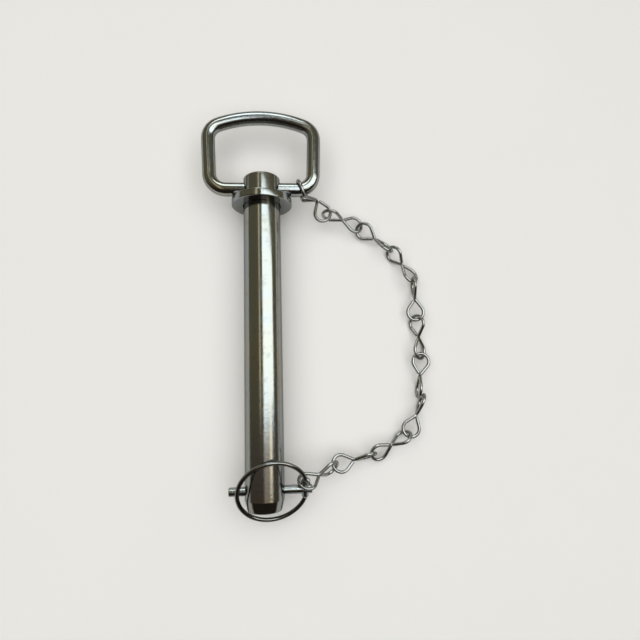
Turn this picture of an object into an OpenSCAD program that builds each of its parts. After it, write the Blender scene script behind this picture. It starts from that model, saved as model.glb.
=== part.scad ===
// Hitch pin lock: a collared hitch pin with a swinging D handle, and a linch
// pin with a snap ring, tethered to the handle by a chain of twisted wire links.
// The pin lies along Y, with the handle at +Y. The origin is on its axis, at the
// face of the collar that bears on the hitch. +Z points up from the surface
// that the collar's rim and the chain lie on.

/* [Pin] */
// Diameter of the pin
pin_d = 22.2; // [22:0.1:22.4]
// Length from the collar's bearing face to the tip
pin_length = 177; // [176:0.5:182]
// Length of the tapered tip
tip_taper = 6.4; // [5:0.1:7]
// Diameter of the tip's flat end
tip_d = 18.8; // [16:0.1:20]
// Distance from the collar's bearing face to the linch pin's hole
hole_distance = 166.4; // [166:0.1:167]
// Diameter of the linch pin's hole
linch_hole_d = 5.6; // [5.5:0.1:6]

/* [Collar] */
// Diameter of the collar
collar_d = 36.4; // [34:0.1:37]
// Thickness of the collar
collar_t = 4.5; // [4:0.1:5]
// Height of the pin's head above the collar
head_h = 13.6; // [13:0.1:15]

/* [Handle] */
// Diameter of the handle's rod
rod_d = 8.3; // [8:0.1:8.3]
// Distance from the collar's bearing face to the handle's pivot
pivot_distance = 11; // [10.8:0.1:11.2]
// Length of the straight bottom rail, from the pin's axis to its bend
rail_half = 21.6; // [21:0.1:22]
// Radius of the lower bends, to the rod's centre
lower_bend_r = 10.3; // [10:0.1:10.4]
// Length of each straight side
side_length = 23; // [22:0.1:26]
// Radius of the upper bends, to the rod's centre
upper_bend_r = 10; // [9:0.1:11]
// Outward lean of each side
side_lean = 2.2; // [0:0.1:3]
// Half the angle of the arched top rail
arch_half_angle = 21; // [18:0.5:24]

/* [Linch pin] */
// Diameter of the linch pin
linch_d = 4.9; // [4.6:0.1:5]
// Reach of the linch pin on the side away from its head
linch_reach = 20; // [18:0.5:22]
// Diameter of the snap ring's wire
ring_wire_d = 2.4; // [2.2:0.1:2.5]
// Radius of the snap ring, to the wire's centre
ring_r = 19.5; // [19.4:0.1:19.7]
// Tilt of the ring's hinge line from the pin's axis
ring_tilt = 30; // [29:0.5:31]

/* [Chain] */
// Diameter of the chain's wire
wire_d = 2; // [1.8:0.1:2]
// Radius of a loop, to the wire's centre
loop_r = 5; // [4.9:0.1:5.1]
// Distance from a link's waist to the far wire of each loop
loop_reach = 13.6; // [13.5:0.1:13.7]

/* [Hidden] */
$fn = 64;

// Small edge breaks and running gaps
edge_break = 0.8;
collar_break = 0.5;
press_gap = 0.02;
hinge_gap = 0.08;
rod_end_gap = 1;
// A ball covers each join in a bent rod or wire, and is this much wider than it
join_swell = 0.04;
// A cutter runs this far past the face that it opens
cut_over = 1;

zinc = "lightsteelblue";
dull_zinc = "silver";
dark_zinc = "slategray";

// A cylinder along +Y from y = from to y = to, with end diameters d1 and d2
module along_y(from, to, d1, d2) {
    translate([0, from, 0]) rotate([-90, 0, 0]) cylinder(d1 = d1, d2 = d2, h = to - from);
}

// A round hole along X through the pin at distance y
module cross_hole(y, d) {
    translate([-pin_d, y, 0]) rotate([0, 90, 0]) cylinder(d = d, h = 2 * pin_d);
}

module pin() color(zinc) {
    head_top = collar_t + head_h;
    difference() {
        union() {
            along_y(-pin_length, tip_taper - pin_length, tip_d, pin_d);
            along_y(tip_taper - pin_length, head_top - edge_break, pin_d, pin_d);
            along_y(head_top - edge_break, head_top, pin_d, pin_d - 2 * edge_break);
        }
        cross_hole(pivot_distance, rod_d + 2 * hinge_gap);
        cross_hole(-hole_distance, linch_hole_d);
    }
}

module collar() color(zinc) {
    difference() {
        union() {
            along_y(0, collar_break, collar_d - 2 * collar_break, collar_d);
            along_y(collar_break, collar_t - collar_break, collar_d, collar_d);
            along_y(collar_t - collar_break, collar_t, collar_d, collar_d - 2 * collar_break);
        }
        along_y(-cut_over, collar_t + cut_over, pin_d + 2 * press_gap, pin_d + 2 * press_gap);
    }
}

// The ball at a join in a rod or wire of diameter d that runs along X
module join_ball(d) {
    rotate([0, 90, 0]) sphere(d = d + join_swell);
}

// A straight length of rod along +X, then what follows it
module straight(d, length) {
    rotate([0, 90, 0]) cylinder(d = d, h = length);
    translate([length, 0, 0]) join_ball(d);
    translate([length, 0, 0]) children();
}

// A rod that leaves the origin along +X and turns to the left in the XY plane
module turn(d, r, angle) {
    translate([0, r, 0]) rotate([0, 0, -90]) rotate_extrude(angle = angle) translate([r, 0]) circle(d = d);
}

// A bend to the left, then what follows it
module bend(d, r, angle) {
    turn(d, r, angle);
    translate([0, r, 0]) rotate([0, 0, angle]) translate([0, -r, 0]) join_ball(d);
    translate([0, r, 0]) rotate([0, 0, angle]) translate([0, -r, 0]) children();
}

// The arched top rail's radius closes the outline on the centre line
lower_turn = 90 - side_lean;
upper_turn = 180 - arch_half_angle - lower_turn;
upper_corner_x = rail_half + lower_bend_r * sin(lower_turn) + side_length * cos(lower_turn)
    + upper_bend_r * (sin(lower_turn + upper_turn) - sin(lower_turn));
arch_r = upper_corner_x / sin(arch_half_angle);

// The handle from its end in the pin's head to its upper corner, then what follows it
module handle_side() {
    translate([rod_end_gap / 2, 0, 0])
        straight(rod_d, rail_half - rod_end_gap / 2)
        bend(rod_d, lower_bend_r, lower_turn)
        straight(rod_d, side_length)
        bend(rod_d, upper_bend_r, upper_turn)
        children();
}

module handle() color(zinc) {
    translate([0, pivot_distance, 0]) {
        handle_side() turn(rod_d, arch_r, 2 * arch_half_angle);
        mirror([1, 0, 0]) handle_side();
    }
}

// The linch pin's own frame: its axis is X, and its head's hinge line leans by ring_tilt
module at_linch() {
    translate([0, -hole_distance, 0]) children();
}

// The snap ring's frame: X across the ring, Y along its hinge line, origin at its centre
ring_centre = [4.4, -0.4, 3.3];
ring_rise = 7.6;
module at_ring() {
    at_linch() translate(ring_centre) rotate([ring_tilt, 0, 0]) rotate([0, ring_rise, 0]) children();
}

// Hinge line, as a distance across the ring's frame, and the sleeve that holds the ring's ends
hinge_x = 18.3;
hinge_angle = acos(hinge_x / ring_r);
sleeve_d = 4;
sleeve_from = -6.2;
sleeve_to = 2.2;
sleeve_hole_depth = 2.4;
sleeve_nose = 1.2;
ring_seat = 2;

// The head is a flat lug, a nose and the cross sleeve, forged on the end of the pin
lug_centre = [23, 3.5, -0.5];
lug_d = 5.4;
lug_t = 2.1;
nose_x = 26.6;
nose_break = 0.6;

// A flat disc in the XY plane with a half-round rim
module rounded_disc(d, t) {
    rotate_extrude() {
        translate([0, -t / 2]) square([(d - t) / 2, t]);
        translate([(d - t) / 2, 0]) intersection() {
            circle(d = t);
            translate([0, -t]) square([t, 2 * t]);
        }
    }
}

module sleeve_along_hinge(from, to, d1, d2) {
    at_ring() translate([hinge_x, from, 0]) rotate([-90, 0, 0]) cylinder(d1 = d1, d2 = d2, h = to - from);
}

module linch_pin() color(zinc) {
    ring_hole_d = ring_wire_d + 2 * hinge_gap;
    difference() {
        union() {
            at_linch() translate([-linch_reach, 0, 0]) rotate([0, 90, 0])
                cylinder(d1 = linch_d - 2 * nose_break, d2 = linch_d, h = nose_break);
            at_linch() translate([nose_break - linch_reach, 0, 0]) rotate([0, 90, 0])
                cylinder(d = linch_d, h = linch_reach + nose_x - 2 * nose_break);
            at_linch() translate([nose_x - nose_break, 0, 0]) rotate([0, 90, 0])
                cylinder(d1 = linch_d, d2 = linch_d - 2 * nose_break, h = nose_break);
            at_linch() translate(lug_centre) rounded_disc(lug_d, lug_t);
            sleeve_along_hinge(sleeve_from + sleeve_nose, sleeve_to, sleeve_d, sleeve_d);
            sleeve_along_hinge(sleeve_from, sleeve_from + sleeve_nose, sleeve_d - sleeve_nose / 2, sleeve_d);
        }
        sleeve_along_hinge(sleeve_from - cut_over, sleeve_from + sleeve_hole_depth, ring_hole_d, ring_hole_d);
        sleeve_along_hinge(sleeve_to - sleeve_hole_depth, sleeve_to + cut_over, ring_hole_d, ring_hole_d);
    }
}

module snap_ring() color(dark_zinc) at_ring() {
    end_y = ring_r * sin(hinge_angle);
    rotate([0, 0, hinge_angle]) rotate_extrude(angle = 360 - 2 * hinge_angle)
        translate([ring_r, 0]) circle(d = ring_wire_d);
    translate([hinge_x, end_y, 0]) join_ball(ring_wire_d);
    translate([hinge_x, -end_y, 0]) join_ball(ring_wire_d);
    translate([hinge_x, sleeve_to - ring_seat, 0]) rotate([-90, 0, 0])
        cylinder(d = ring_wire_d, h = end_y - sleeve_to + ring_seat);
    translate([hinge_x, -end_y, 0]) rotate([-90, 0, 0])
        cylinder(d = ring_wire_d, h = end_y + sleeve_from + ring_seat);
}

// A loop is a teardrop: a round end and two straight legs that meet at the waist
loop_centre = loop_reach - loop_r;
leg_angle = asin(loop_r / loop_centre);
leg_length = loop_centre * cos(leg_angle);
// Each loop's free end stops short of the waist by this much
free_end_gap = 1.2 * wire_d;

// A leg of wire along +X, with a join at its end
module leg(from) {
    translate([from, 0, 0]) rotate([0, 90, 0]) cylinder(d = wire_d, h = leg_length - from);
    translate([leg_length, 0, 0]) join_ball(wire_d);
}

// An arc of wire about the origin, starting at angle from
module wire_arc(r, from, sweep) {
    rotate([0, 0, from]) rotate_extrude(angle = sweep) translate([r, 0]) circle(d = wire_d);
}

// One loop in the XY plane, from the waist at the origin to its round end at +X
module right_loop() {
    rotate([0, 0, leg_angle]) leg(0);
    translate([loop_centre, 0, 0]) wire_arc(loop_r, -90 - leg_angle, 180 + 2 * leg_angle);
    rotate([0, 0, -leg_angle]) leg(free_end_gap);
}

// The same loop, with its free end on the side of -Y (1) or +Y (-1)
module wire_loop(side) {
    if (side > 0) right_loop();
    else mirror([0, 1, 0]) right_loop();
}

// Where the links lie, from the handle's corner to the linch pin. Each row has the waist's
// x, y and z, then the link's heading, upward slope and roll in degrees, then the sides on
// which its near loop and its far loop have their free ends.
LINKS = [
    [34.5, 5.5, -2, -65, -25, 92, -1, 1],
    [51, -4.5, -10, -16, -16, 76, -1, 1],
    [72, -16, -13, -37, 0, 34, 1, 1],
    [89, -33.5, -12.5, -55, 3, 55, -1, 1],
    [96, -56, -12.5, -89, -2, 95, 1, -1],
    [97, -80.5, -13, -87, 0, 51, 1, -1],
    [96.5, -104.5, -12.5, -98, 2, 2, 1, -1],
    [92.5, -129, -12, -115, 0, 94, -1, 1],
    [76, -146, -12, -151, -3, 63, -1, -1],
    [53, -153.5, -10.5, -169, 9, -73, -1, -1],
    [31, -159.7, -2.6, -161, 30, -52, -1, -1]
];

module at_link(row) {
    translate([row[0], row[1], row[2]]) rotate([0, 0, row[3]]) rotate([0, -row[4], 0]) rotate([row[5], 0, 0])
        children();
}

// The loop towards the handle lies flat in the link's frame, and the other stands across it
module near_loop(row) {
    at_link(row) mirror([1, 0, 0]) wire_loop(row[6]);
}

module far_loop(row) {
    at_link(row) rotate([90, 0, 0]) wire_loop(row[7]);
    at_link(row) join_ball(wire_d);
}

module chain_link(number) color(dull_zinc) {
    near_loop(LINKS[number - 1]);
    far_loop(LINKS[number - 1]);
}

// The first link's near loop is opened wider to pass round the handle's rod, and is bent over
rod_loop_centre = [24.1, 10.6, 0];
rod_loop_r = 6.2;
rod_loop_heading = 18;
rod_loop_mouth = 34;
rod_loop_leg_part = 0.8;

// A wire from point a part of the way to point b
module wire_between(a, b, part) {
    run = b - a;
    translate(a) rotate([0, acos(run[2] / norm(run)), atan2(run[1], run[0])])
        cylinder(d = wire_d, h = part * norm(run));
}

// A point on the rod loop at angle q from the side that faces the waist
function rod_loop_point(q) = rod_loop_centre + rod_loop_r
    * [cos(q) * sin(rod_loop_heading), -cos(q) * cos(rod_loop_heading), sin(q)];

module chain_link_01() color(dull_zinc) {
    waist = [LINKS[0][0], LINKS[0][1], LINKS[0][2]];
    top = rod_loop_point(rod_loop_mouth);
    bottom = rod_loop_point(-rod_loop_mouth);
    far_loop(LINKS[0]);
    translate(rod_loop_centre) rotate([0, 0, rod_loop_heading - 90]) rotate([90, 0, 0])
        wire_arc(rod_loop_r, rod_loop_mouth, 360 - 2 * rod_loop_mouth);
    translate(top) join_ball(wire_d);
    translate(bottom) join_ball(wire_d);
    wire_between(top, waist, 1);
    wire_between(bottom, waist, rod_loop_leg_part);
}

pin();
collar();
handle();
linch_pin();
snap_ring();
chain_link_01();
chain_link(2);  // chain_link_02
chain_link(3);  // chain_link_03
chain_link(4);  // chain_link_04
chain_link(5);  // chain_link_05
chain_link(6);  // chain_link_06
chain_link(7);  // chain_link_07
chain_link(8);  // chain_link_08
chain_link(9);  // chain_link_09
chain_link(10);  // chain_link_10
chain_link(11);  // chain_link_11
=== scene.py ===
"""The looks of a hitch pin lock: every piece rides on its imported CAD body, in metres."""

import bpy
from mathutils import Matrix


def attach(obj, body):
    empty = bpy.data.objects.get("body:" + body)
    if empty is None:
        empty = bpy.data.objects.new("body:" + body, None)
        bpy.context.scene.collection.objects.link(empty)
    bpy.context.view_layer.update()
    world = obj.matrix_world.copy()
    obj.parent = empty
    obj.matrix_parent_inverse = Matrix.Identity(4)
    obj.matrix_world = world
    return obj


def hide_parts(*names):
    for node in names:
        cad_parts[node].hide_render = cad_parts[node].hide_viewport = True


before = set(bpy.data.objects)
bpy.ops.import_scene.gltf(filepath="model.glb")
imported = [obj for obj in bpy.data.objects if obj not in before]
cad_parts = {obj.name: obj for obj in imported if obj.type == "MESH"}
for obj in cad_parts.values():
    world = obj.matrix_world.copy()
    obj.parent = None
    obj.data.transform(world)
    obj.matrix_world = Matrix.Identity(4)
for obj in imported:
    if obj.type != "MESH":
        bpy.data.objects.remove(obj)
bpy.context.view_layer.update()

import math

import bmesh
import bpy
from mathutils import Matrix, Vector

MM = 0.001
scene = bpy.context.scene

# ---------------------------------------------------------------- sizes, in millimetres and degrees

PIN_R = 11.1
PIN_LENGTH = 177.0
TIP_TAPER = 6.4
TIP_R = 9.4
HOLE_DISTANCE = 166.4
LINCH_HOLE_R = 2.8
COLLAR_R = 18.2
COLLAR_T = 4.5
HEAD_TOP = 18.1
PIVOT_DISTANCE = 11.0
HINGE_GAP = 0.08

ROD_R = 4.15
RAIL_HALF = 21.6
LOWER_BEND_R = 10.3
SIDE_LENGTH = 23.0
UPPER_BEND_R = 10.0
SIDE_LEAN = 2.2
ARCH_HALF_ANGLE = 21.0

LINCH_R = 2.45
LINCH_REACH = 20.0
NOSE_X = 26.6
LUG_CENTRE = (23.0, 3.5, -0.5)
LUG_R = 2.7
LUG_T = 2.1
RING_WIRE_R = 1.2
RING_R = 19.5
RING_TILT = 30.0
RING_RISE = 7.6
RING_CENTRE = (4.4, -0.4, 3.3)
HINGE_X = 18.3
SLEEVE_R = 2.0
SLEEVE_FROM = -6.2
SLEEVE_TO = 2.2
RING_SEAT = 2.0

WIRE_R = 1.0
LOOP_R = 5.0
LOOP_REACH = 13.6
FREE_END_GAP = 1.7
ROD_LOOP_CENTRE = (24.1, 10.6, 0.0)
ROD_LOOP_R = 6.2
ROD_LOOP_HEADING = 18.0
ROD_LOOP_MOUTH = 34.0
ROD_LOOP_LEG_PART = 0.8

# Each link's waist, then its heading, upward slope and roll, then its loops' sides, as in the CAD model
LINKS = [
    ((34.5, 5.5, -2.0), (-65, -25, 92), (-1, 1)),
    ((51.0, -4.5, -10.0), (-16, -16, 76), (-1, 1)),
    ((72.0, -16.0, -13.0), (-37, 0, 34), (1, 1)),
    ((89.0, -33.5, -12.5), (-55, 3, 55), (-1, 1)),
    ((96.0, -56.0, -12.5), (-89, -2, 95), (1, -1)),
    ((97.0, -80.5, -13.0), (-87, 0, 51), (1, -1)),
    ((96.5, -104.5, -12.5), (-98, 2, 2), (1, -1)),
    ((92.5, -129.0, -12.0), (-115, 0, 94), (-1, 1)),
    ((76.0, -146.0, -12.0), (-151, -3, 63), (-1, -1)),
    ((53.0, -153.5, -10.5), (-169, 9, -73), (-1, -1)),
    ((31.0, -159.7, -2.6), (-161, 30, -52), (-1, -1)),
]


# ---------------------------------------------------------------- camera

def make_camera():
    """The view: a little below the middle of the pin, looking down with a slight tilt each way."""
    place = Vector((9.8, -108.8, 265.2)) * MM
    roll, pitch, yaw = math.radians(1.63), math.radians(-8.19), math.radians(5.15)
    turn = Matrix.Rotation(roll, 3, "Z") @ Matrix.Rotation(pitch, 3, "X") @ Matrix.Rotation(yaw, 3, "Y")
    camera = bpy.data.objects.new("camera", bpy.data.cameras.new("camera"))
    camera.data.lens = 25.37
    camera.data.sensor_width = 36.0
    camera.data.clip_start = 0.01
    camera.matrix_world = Matrix.Translation(place) @ turn.transposed().to_4x4()
    scene.collection.objects.link(camera)
    scene.camera = camera


# ---------------------------------------------------------------- materials

def node(tree, kind, **inputs):
    """A new node with some of its inputs set or linked, by name with _ for a space."""
    made = tree.nodes.new(kind)
    for name, value in inputs.items():
        socket = made.inputs[name.replace("_", " ")]
        if isinstance(value, bpy.types.NodeSocket):
            tree.links.new(value, socket)
        else:
            socket.default_value = value
    return made


def ramp(tree, factor, low, high, low_value, high_value):
    """Maps factor from low..high to low_value..high_value."""
    made = node(tree, "ShaderNodeMapRange", Value=factor)
    made.inputs["From Min"].default_value = low
    made.inputs["From Max"].default_value = high
    made.inputs["To Min"].default_value = low_value
    made.inputs["To Max"].default_value = high_value
    return made.outputs["Result"]


def noise(tree, vector, scale, detail=3.0, roughness=0.55):
    made = node(tree, "ShaderNodeTexNoise", Vector=vector, Scale=scale, Detail=detail, Roughness=roughness)
    return made.outputs["Fac"]


def mix_colour(tree, factor, a, b):
    made = tree.nodes.new("ShaderNodeMix")
    made.data_type = "RGBA"
    for socket, value in ((made.inputs[0], factor), (made.inputs[6], a), (made.inputs[7], b)):
        if isinstance(value, bpy.types.NodeSocket):
            tree.links.new(value, socket)
        else:
            socket.default_value = value
    return made.outputs[2]


def zinc(name, colour, warm, roughness, stretch, streak, grain, stain, spots=130.0, worn=1.0):
    """Zinc-plated steel. stretch lengthens the drawing lines along an axis, and streak, grain and stain
    are the depth of those lines, the depth of the plating's crystals and the share of dull patches. spots is
    the patches' scale, and worn is how much deeper the crystals are at the tip than at the collar."""
    material = bpy.data.materials.new(name)
    material.use_nodes = True
    tree = material.node_tree
    shader = tree.nodes["Principled BSDF"]
    shader.inputs["Metallic"].default_value = 1.0
    shader.inputs["Specular Tint"].default_value = (0.45, 0.47, 0.48, 1)

    place = tree.nodes.new("ShaderNodeTexCoord").outputs["Object"]
    along = node(tree, "ShaderNodeMapping", Vector=place)
    along.inputs["Scale"].default_value = stretch
    lines = noise(tree, along.outputs["Vector"], 900.0, detail=5.0, roughness=0.6)
    crystals = noise(tree, place, 650.0, detail=4.0, roughness=0.7)
    clouds = noise(tree, place, 38.0, detail=4.0)
    patches = noise(tree, place, spots, detail=6.0, roughness=0.65)

    tint = mix_colour(tree, ramp(tree, clouds, 0.35, 0.65, 0.0, 1.0), colour, warm)
    dull = ramp(tree, patches, 0.56, 0.72, 0.0, stain)
    dark = [0.62 * part for part in warm[:3]] + [1.0]
    tree.links.new(mix_colour(tree, dull, tint, dark), shader.inputs["Base Color"])

    uneven = 0.3 * roughness
    rough = node(tree, "ShaderNodeMath", Value=ramp(tree, lines, 0.3, 0.7, -uneven, uneven))
    rough.operation = "ADD"
    tree.links.new(ramp(tree, patches, 0.45, 0.75, roughness, 1.7 * roughness), rough.inputs[1])
    tree.links.new(rough.outputs[0], shader.inputs["Roughness"])

    along_pin = node(tree, "ShaderNodeSeparateXYZ", Vector=place).outputs["Y"]
    depth = ramp(tree, along_pin, -0.15, -0.06, worn * grain, grain)
    crystal_height, line_height = 0.0001, 0.00002
    fine = node(tree, "ShaderNodeBump", Height=crystals, Strength=depth, Distance=crystal_height)
    coarse = node(tree, "ShaderNodeBump", Height=lines, Strength=streak, Distance=line_height,
                  Normal=fine.outputs[0])
    tree.links.new(coarse.outputs[0], shader.inputs["Normal"])
    return material


def floor_material():
    material = bpy.data.materials.new("pale_floor")
    material.use_nodes = True
    tree = material.node_tree
    shader = tree.nodes["Principled BSDF"]
    shader.inputs["Roughness"].default_value = 0.9
    shader.inputs["Specular IOR Level"].default_value = 0.1
    place = tree.nodes.new("ShaderNodeTexCoord").outputs["Object"]
    shade = noise(tree, place, 6.0)
    white = mix_colour(tree, shade, (0.90, 0.90, 0.90, 1), (0.93, 0.93, 0.92, 1))
    tree.links.new(white, shader.inputs["Base Color"])
    return material


# ---------------------------------------------------------------- mesh helpers, all in millimetres

def finish_piece(name, mesh, body, nodes, material, sharp=32.0):
    """Turns a bmesh in millimetres into a smooth-shaded piece that stands for CAD nodes on a body."""
    bmesh.ops.remove_doubles(mesh, verts=mesh.verts, dist=0.0005)
    bmesh.ops.recalc_face_normals(mesh, faces=mesh.faces)
    bmesh.ops.scale(mesh, vec=(MM, MM, MM), verts=mesh.verts)
    for edge in mesh.edges:
        edge.smooth = len(edge.link_faces) == 2 and edge.calc_face_angle(0.0) < math.radians(sharp)
    for face in mesh.faces:
        face.smooth = True
    data = bpy.data.meshes.new(name)
    mesh.to_mesh(data)
    mesh.free()
    data.materials.append(material)
    piece = bpy.data.objects.new(name, data)
    scene.collection.objects.link(piece)
    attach(piece, body)
    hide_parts(*nodes)
    return piece


def bridge(mesh, rings):
    """Joins each ring of vertices to the next with quads."""
    for ring, following in zip(rings, rings[1:]):
        count = len(ring)
        for i in range(count):
            j = (i + 1) % count
            mesh.faces.new((ring[i], ring[j], following[j], following[i]))


def rounded(points, radius, steps=8):
    """Points with an arc of that radius, or less where there's no room, at each corner."""
    points = [Vector(p) for p in points]
    out = [points[0]]
    for before, corner, after in zip(points, points[1:], points[2:]):
        a, b = before - corner, after - corner
        bend = math.pi - a.angle(b)
        if bend < math.radians(18):
            out.append(corner)
            continue
        reach = min(radius * math.tan(bend / 2), 0.45 * a.length, 0.45 * b.length)
        start, end = corner + a.normalized() * reach, corner + b.normalized() * reach
        # the arc is close to a quadratic Bezier curve for the small turns here
        for k in range(steps + 1):
            t = k / steps
            out.append(start * (1 - t) ** 2 + corner * 2 * t * (1 - t) + end * t ** 2)
    out.append(points[-1])
    return out


def spaced(points, step):
    """The same path with no gap longer than step."""
    out = [points[0]]
    for a, b in zip(points, points[1:]):
        count = max(1, math.ceil((b - a).length / step))
        out += [a.lerp(b, k / count) for k in range(1, count + 1)]
    return out


def lathe(profile, place=Matrix(), segments=128, step=2.0):
    """A solid turned about local X from (x, radius) points; it closes on the axis at both ends."""
    mesh = bmesh.new()
    points = spaced([Vector((x, r, 0)) for x, r in profile], step)
    rings = []
    for point in points:
        if point.y < 1e-6:
            rings.append([mesh.verts.new(place @ Vector((point.x, 0, 0)))])
            continue
        angles = [2 * math.pi * k / segments for k in range(segments)]
        rings.append([mesh.verts.new(place @ Vector((point.x, point.y * math.cos(q), point.y * math.sin(q))))
                      for q in angles])
    for ring, following in zip(rings, rings[1:]):
        if len(ring) == len(following):
            bridge(mesh, [ring, following])
            continue
        hub, rim = (ring[0], following) if len(ring) == 1 else (following[0], ring)
        for i in range(segments):
            mesh.faces.new((hub, rim[i], rim[(i + 1) % segments]))
    bmesh.ops.recalc_face_normals(mesh, faces=mesh.faces)
    return mesh


def turned(profile, radii, **options):
    """lathe() with a small arc at each corner of the profile."""
    points = [Vector((x, r, 0)) for x, r in profile]
    out = [points[0]]
    for before, corner, after, radius in zip(points, points[1:], points[2:], radii):
        out += rounded([before, corner, after], radius)[1:-1] if radius else [corner]
    out.append(points[-1])
    return lathe([(p.x, p.y) for p in out], **options)


def sweep(path, radius, segments=24, end_round=0.35):
    """A round wire along a path, with ends rounded by end_round of its radius."""
    mesh = bmesh.new()
    tangents = []
    for i in range(len(path)):
        before, after = path[max(i - 1, 0)], path[min(i + 1, len(path) - 1)]
        tangents.append((after - before).normalized())
    side = tangents[0].orthogonal().normalized()
    rings = []

    def ring(centre, across, up, size):
        angles = [2 * math.pi * k / segments for k in range(segments)]
        return [mesh.verts.new(centre + size * (math.cos(q) * across + math.sin(q) * up)) for q in angles]

    rim = [(1 - math.cos(q), math.sin(q)) for q in (0.5 * math.pi * k / 4 for k in range(5))]
    soft = end_round * radius
    for i, (point, tangent) in enumerate(zip(path, tangents)):
        side = (side - tangent * side.dot(tangent)).normalized()
        up = tangent.cross(side)
        if i == 0:
            rings += [ring(point - tangent * soft * (1 - s), side, up, radius - soft * c)
                      for c, s in [(1 - math.sin(0.5 * math.pi * k / 4), 1 - math.cos(0.5 * math.pi * k / 4))
                                   for k in range(4)]]
        rings.append(ring(point, side, up, radius))
        if i == len(path) - 1:
            rings += [ring(point + tangent * soft * s, side, up, radius - soft * c) for c, s in rim[1:]]
    bridge(mesh, rings)
    mesh.faces.new(list(reversed(rings[0])))
    mesh.faces.new(rings[-1])
    bmesh.ops.recalc_face_normals(mesh, faces=mesh.faces)
    return mesh


def combine(piece, tool_mesh, name, operation):
    """Applies a boolean of a closed bmesh, in millimetres, to a piece for good."""
    bmesh.ops.scale(tool_mesh, vec=(MM, MM, MM), verts=tool_mesh.verts)
    bmesh.ops.recalc_face_normals(tool_mesh, faces=tool_mesh.faces)
    data = bpy.data.meshes.new(name)
    tool_mesh.to_mesh(data)
    tool_mesh.free()
    tool = bpy.data.objects.new(name, data)
    scene.collection.objects.link(tool)
    modifier = piece.modifiers.new("combine", "BOOLEAN")
    modifier.object = tool
    modifier.operation = operation
    modifier.solver = "EXACT"
    view = bpy.context.evaluated_depsgraph_get()
    result = bpy.data.meshes.new_from_object(piece.evaluated_get(view))
    piece.modifiers.clear()
    piece.data = result
    bpy.data.objects.remove(tool)


def sharpen(piece, sharp=32.0):
    """Marks the edges that a boolean made, and leaves the rest smooth."""
    mesh = bmesh.new()
    mesh.from_mesh(piece.data)
    bmesh.ops.dissolve_degenerate(mesh, edges=mesh.edges, dist=1e-7)
    for edge in mesh.edges:
        edge.smooth = len(edge.link_faces) == 2 and edge.calc_face_angle(0.0) < math.radians(sharp)
    for face in mesh.faces:
        face.smooth = True
    mesh.to_mesh(piece.data)
    mesh.free()


# ---------------------------------------------------------------- pin, collar and handle

ALONG_PIN = Matrix.Rotation(math.radians(90), 4, "Z")


def across_pin(y):
    return Matrix.Translation((0, y, 0))


def make_pin(material):
    """The shank with its tapered tip, the head with a broken edge, and the two cross holes."""
    bevel = 0.8
    profile = [(-PIN_LENGTH, 0), (-PIN_LENGTH, TIP_R), (TIP_TAPER - PIN_LENGTH, PIN_R),
               (HEAD_TOP - bevel, PIN_R), (HEAD_TOP, PIN_R - bevel), (HEAD_TOP, 0)]
    mesh = turned(profile, (0.9, 0, 0.5, 0.5), place=ALONG_PIN, segments=160, step=3.0)
    pin = finish_piece("pin_shank", mesh, "pin_body", ["pin"], material)
    reach = PIN_R + 2
    flare = 0.5
    holes = (("rod_hole", PIVOT_DISTANCE, ROD_R + HINGE_GAP), ("linch_hole", -HOLE_DISTANCE, LINCH_HOLE_R))
    for name, y, radius in holes:
        half = [(reach, 0), (reach, radius + flare), (PIN_R - 0.4, radius + 0.1), (PIN_R - 1.0, radius)]
        outline = [(-x, size) for x, size in half] + half[::-1]
        combine(pin, lathe(outline, place=across_pin(y), segments=64), name, "DIFFERENCE")
    tip_edge = 12
    sharpen(pin, sharp=tip_edge)
    return pin


def make_collar(material):
    """The pressed ring, with rounded rims and a small chamfer round its bore."""
    bore = PIN_R + 0.02
    corners = [(0, bore + 0.5), (0, COLLAR_R), (COLLAR_T, COLLAR_R), (COLLAR_T, bore + 0.4),
               (COLLAR_T - 0.4, bore), (0.5, bore)]
    soft = (0.0, 0.7, 0.7, 0.0, 0.0, 0.0)
    ringed = []
    for i, (corner, radius) in enumerate(zip(corners, soft)):
        before, after = corners[i - 1], corners[(i + 1) % len(corners)]
        trio = [Vector((x, r, 0)) for x, r in (before, corner, after)]
        ringed += rounded(trio, radius)[1:-1] if radius else [trio[1]]
    mesh = bmesh.new()
    segments = 160
    rings = [[mesh.verts.new(ALONG_PIN @ Vector((p.x, p.y * math.cos(q), p.y * math.sin(q))))
              for q in (2 * math.pi * k / segments for k in range(segments))] for p in ringed]
    bridge(mesh, rings + rings[:1])
    return finish_piece("collar_ring", mesh, "pin_body", ["collar"], material)


class Trail:
    """A path drawn in the XY plane by straight runs and left-hand turns."""

    def __init__(self, x, y, heading=0.0):
        self.at = Vector((x, y, 0))
        self.heading = heading
        self.points = [self.at.copy()]

    def ahead(self, length):
        self.at = self.at + length * Vector((math.cos(self.heading), math.sin(self.heading), 0))
        self.points.append(self.at.copy())
        return self

    def turn(self, radius, angle, step=3.0):
        count = max(2, round(angle / step))
        hub = self.at + radius * Vector((-math.sin(self.heading), math.cos(self.heading), 0))
        first = self.heading
        for k in range(1, count + 1):
            self.heading = first + math.radians(angle) * k / count
            self.at = hub + radius * Vector((math.sin(self.heading), -math.cos(self.heading), 0))
            self.points.append(self.at.copy())
        return self


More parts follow.
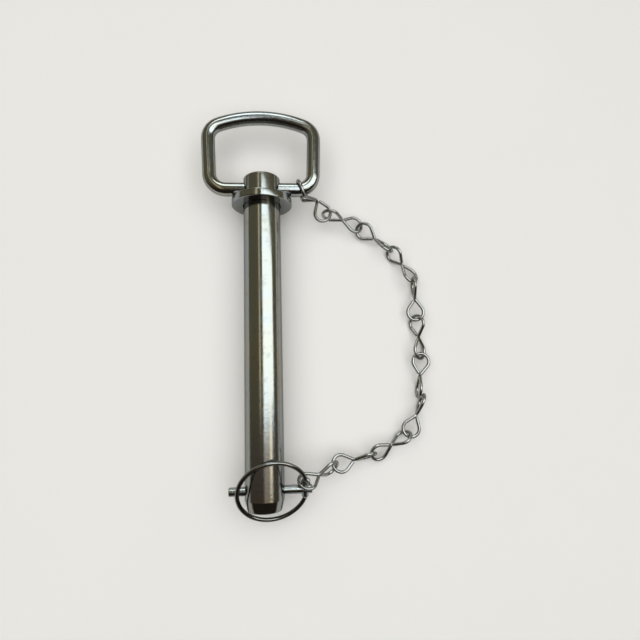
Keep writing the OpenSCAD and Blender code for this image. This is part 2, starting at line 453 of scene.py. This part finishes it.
def handle_path():
    """The D-shaped rod, from its end in the head round to its other end."""
    lower = 90 - SIDE_LEAN
    upper = 180 - ARCH_HALF_ANGLE - lower
    rod_end_gap = 0.5
    trail = Trail(rod_end_gap, PIVOT_DISTANCE)
    trail.ahead(RAIL_HALF - rod_end_gap).turn(LOWER_BEND_R, lower)
    trail.ahead(SIDE_LENGTH).turn(UPPER_BEND_R, upper)
    arch_r = trail.at.x / math.sin(math.radians(ARCH_HALF_ANGLE))
    trail.turn(arch_r, ARCH_HALF_ANGLE, step=1.5)
    half = trail.points
    return half + [Vector((-p.x, p.y, 0)) for p in reversed(half[:-1])]


def make_handle(material):
    mesh = sweep(spaced(handle_path(), 1.5), ROD_R, segments=64, end_round=0.1)
    return finish_piece("handle_rod", mesh, "handle_body", ["handle"], material, sharp=40)


# ---------------------------------------------------------------- linch pin and snap ring

AT_LINCH = Matrix.Translation((0, -HOLE_DISTANCE, 0))
AT_RING = (AT_LINCH @ Matrix.Translation(RING_CENTRE) @ Matrix.Rotation(math.radians(RING_TILT), 4, "X")
           @ Matrix.Rotation(math.radians(RING_RISE), 4, "Y"))


def make_linch_pin(material):
    """The small pin, with the forged lug, the nose and the sleeve that holds the ring's ends."""
    rod = turned([(-LINCH_REACH, 0), (-LINCH_REACH, LINCH_R), (NOSE_X, LINCH_R), (NOSE_X, 0)], (0.7, 0.7),
                 place=AT_LINCH, segments=64)
    pin = finish_piece("linch_rod", rod, "linch_body", ["linch_pin"], material)

    half = LUG_T / 2
    flat = LUG_R - half
    rim = [(half * math.sin(q), flat + half * math.cos(q))
           for q in (math.pi * (k / 12 - 0.5) for k in range(13))]
    dimple = [(-half, 0), (-half, flat - 0.1)]
    dished = [(half, flat - 0.2), (half - 0.25, flat - 0.7), (half - 0.3, 0)]
    lug_place = AT_LINCH @ Matrix.Translation(LUG_CENTRE) @ Matrix.Rotation(math.radians(-90), 4, "Y")
    along_hinge = AT_RING @ Matrix.Translation((HINGE_X, 0, 0)) @ Matrix.Rotation(math.radians(90), 4, "Z")
    sleeve = [(SLEEVE_FROM, 0), (SLEEVE_FROM, SLEEVE_R - 0.4), (SLEEVE_FROM + 1.2, SLEEVE_R),
              (SLEEVE_TO, SLEEVE_R), (SLEEVE_TO, 0)]
    extras = [("lug", lathe(dimple + rim + dished, place=lug_place, segments=48)),
              ("sleeve", turned(sleeve, (0.3, 0.3, 0.4), place=along_hinge, segments=48))]
    for name, mesh in extras:
        combine(pin, mesh, name, "UNION")
    hole_r = RING_WIRE_R + HINGE_GAP
    depth = 2.4
    for name, start, end in (("lower_seat", SLEEVE_FROM - 1, SLEEVE_FROM + depth),
                             ("upper_seat", SLEEVE_TO - depth, SLEEVE_TO + 1)):
        seat = [(start, 0), (start, hole_r), (end, hole_r), (end, 0)]
        combine(pin, lathe(seat, place=along_hinge, segments=48), name, "DIFFERENCE")
    sharpen(pin)
    return pin


def make_snap_ring(material):
    """One sprung wire: most of a circle, with both ends bent in to seats on the hinge line."""
    half = math.acos(HINGE_X / RING_R)
    count = 150
    arc = [Vector((RING_R * math.cos(q), RING_R * math.sin(q), 0))
           for q in (half + (2 * math.pi - 2 * half) * k / count for k in range(count + 1))]
    bend = 1.2
    first, last = arc[0], arc[-1]
    corner_in = rounded([Vector((HINGE_X, SLEEVE_TO - RING_SEAT, 0)), first, arc[3]], bend)
    corner_out = rounded([arc[-4], last, Vector((HINGE_X, SLEEVE_FROM + RING_SEAT, 0))], bend)
    path = [AT_RING @ p for p in corner_in[:-1] + arc[3:-3] + corner_out[1:]]
    mesh = sweep(path, RING_WIRE_R, segments=32)
    return finish_piece("ring_wire", mesh, "ring_body", ["snap_ring"], material, sharp=50)


# ---------------------------------------------------------------- chain

LOOP_CENTRE = LOOP_REACH - LOOP_R
LEG_ANGLE = math.asin(LOOP_R / LOOP_CENTRE)


def loop_path(side):
    """One teardrop loop in the XY plane, from its free end round to the waist at the origin."""
    free = Vector((math.cos(LEG_ANGLE), -math.sin(LEG_ANGLE), 0)) * FREE_END_GAP
    sweep_half = math.pi / 2 + LEG_ANGLE
    count = 36
    arc = [Vector((LOOP_CENTRE + LOOP_R * math.cos(q), LOOP_R * math.sin(q), 0))
           for q in (sweep_half * (2 * k / count - 1) for k in range(count + 1))]
    return [Vector((p.x, side * p.y, 0)) for p in [free] + arc + [Vector((0, 0, 0))]]


def link_place(place, angles):
    heading, slope, roll = (math.radians(q) for q in angles)
    return (Matrix.Translation(place) @ Matrix.Rotation(heading, 4, "Z") @ Matrix.Rotation(-slope, 4, "Y")
            @ Matrix.Rotation(roll, 4, "X"))


def near_loop(side):
    return [Vector((-p.x, p.y, 0)) for p in loop_path(side)]


def far_loop(side):
    return [Vector((p.x, 0, p.y)) for p in reversed(loop_path(side))]


def rod_loop(waist):
    """The first link's near loop, opened wider round the handle's rod, down to the waist."""
    heading = math.radians(ROD_LOOP_HEADING)
    across = Vector((math.sin(heading), -math.cos(heading), 0))
    mouth = math.radians(ROD_LOOP_MOUTH)
    count = 40
    centre = Vector(ROD_LOOP_CENTRE)
    turns = (2 * math.pi - 2 * mouth)
    arc = [centre + ROD_LOOP_R * (math.cos(q) * across - math.sin(q) * Vector((0, 0, 1)))
           for q in (mouth + turns * k / count for k in range(count + 1))]
    free = arc[0].lerp(waist, ROD_LOOP_LEG_PART)
    return [free] + arc + [waist]


def make_chain(material):
    """Each link is one wire: its near loop, a soft twist at the waist, then its far loop."""
    waist_bend = 2.6
    for number, (waist, angles, sides) in enumerate(LINKS, start=1):
        place = link_place(waist, angles)
        far = [place @ p for p in far_loop(sides[1])]
        near = rod_loop(Vector(waist)) if number == 1 else [place @ p for p in near_loop(sides[0])]
        path = spaced(rounded(near[:-1] + far, waist_bend), 0.5)
        label = f"chain_link_{number:02d}"
        mesh = sweep(path, WIRE_R, segments=20, end_round=0.5)
        finish_piece(f"wire_link_{number:02d}", mesh, f"{label}_body", [label], material,
                     sharp=50)


# ---------------------------------------------------------------- floor and light

def make_floor(material):
    size = 6.0
    bpy.ops.mesh.primitive_plane_add(size=size, location=(0, 0, -COLLAR_R * MM))
    floor = bpy.context.object
    floor.name = "floor"
    floor.data.materials.append(material)


def area_light(name, centre, size, power, colour):
    """A soft panel that faces straight down."""
    light = bpy.data.lights.new(name, "AREA")
    light.shape = "RECTANGLE"
    light.size, light.size_y = size
    light.energy = power
    light.color = colour
    lamp = bpy.data.objects.new(name, light)
    lamp.location = centre
    scene.collection.objects.link(lamp)
    return lamp


def panel(name, low, high, brightness, colour):
    """A panel from corner low to corner high that only shines in the metal."""
    height = 0.60
    size = (high[0] - low[0], high[1] - low[1])
    centre = ((low[0] + high[0]) / 2, (low[1] + high[1]) / 2, height)
    lamp = area_light(name, centre, size, brightness * math.pi * size[0] * size[1], colour)
    lamp.visible_diffuse = False


def make_world():
    """A dim room: olive behind the handle, brown and then nearly black on the tip's side."""
    world = bpy.data.worlds.new("room")
    world.use_nodes = True
    tree = world.node_tree
    direction = tree.nodes.new("ShaderNodeTexCoord").outputs["Generated"]
    towards_handle = node(tree, "ShaderNodeSeparateXYZ", Vector=direction).outputs["Y"]
    near = mix_colour(tree, ramp(tree, towards_handle, -0.6, -0.2, 0.0, 1.0),
                      (0.03, 0.024, 0.02, 1), (0.11, 0.085, 0.065, 1))
    colour = mix_colour(tree, ramp(tree, towards_handle, -0.2, 0.08, 0.0, 1.0), near, (0.19, 0.178, 0.115, 1))
    tree.links.new(colour, tree.nodes["Background"].inputs["Color"])
    scene.world = world


def make_light():
    daylight, lamplight, dusk = (0.84, 0.94, 1.0), (1.0, 0.9, 0.66), (1.0, 0.82, 0.68)
    panel("window", (0.0, -0.18), (1.13, 0.31), 3.2, daylight)
    panel("far_window", (-0.30, 0.53), (0.16, 1.6), 3.6, daylight)
    panel("low_window", (0.0, -0.36), (0.43, -0.18), 0.45, dusk)
    panel("window_strip", (0.43, -0.36), (0.66, -0.18), 2.4, lamplight)
    panel("left_strip", (-0.24, -0.16), (-0.15, 0.5), 0.9, lamplight)
    fill = area_light("fill", (0.0, -0.05, 1.2), (2.4, 2.4), 25.0, (1.0, 1.0, 1.0))
    fill.visible_glossy = False
    make_world()
    scene.view_settings.view_transform = "Standard"


# ---------------------------------------------------------------- the object

make_camera()
plating, warm_plating = (0.30, 0.315, 0.32, 1), (0.32, 0.31, 0.27, 1)
every_way = (1.0, 1.0, 1.0)
bright = zinc("bright_zinc", plating, warm_plating, 0.13, (1.0, 0.03, 1.0), 0.5, 0.16, 0.5, worn=5.0)
rod_zinc = zinc("rod_zinc", plating, warm_plating, 0.12, every_way, 0.25, 0.3, 1.0, spots=450.0)
grey = zinc("grey_zinc", (0.33, 0.35, 0.36, 1), (0.32, 0.32, 0.30, 1), 0.18, (0.05, 1.0, 1.0),
            0.3, 0.5, 0.8, spots=500.0)
dark = zinc("dark_zinc", (0.22, 0.225, 0.22, 1), (0.21, 0.20, 0.17, 1), 0.13, every_way, 0.2, 0.2, 0.4)
wire_zinc = zinc("wire_zinc", (0.36, 0.36, 0.35, 1), (0.35, 0.34, 0.31, 1), 0.2, every_way, 0.3, 0.4, 0.4)
make_pin(bright)
make_collar(bright)
make_handle(rod_zinc)
make_linch_pin(grey)
make_snap_ring(dark)
make_chain(wire_zinc)
make_floor(floor_material())
make_light()
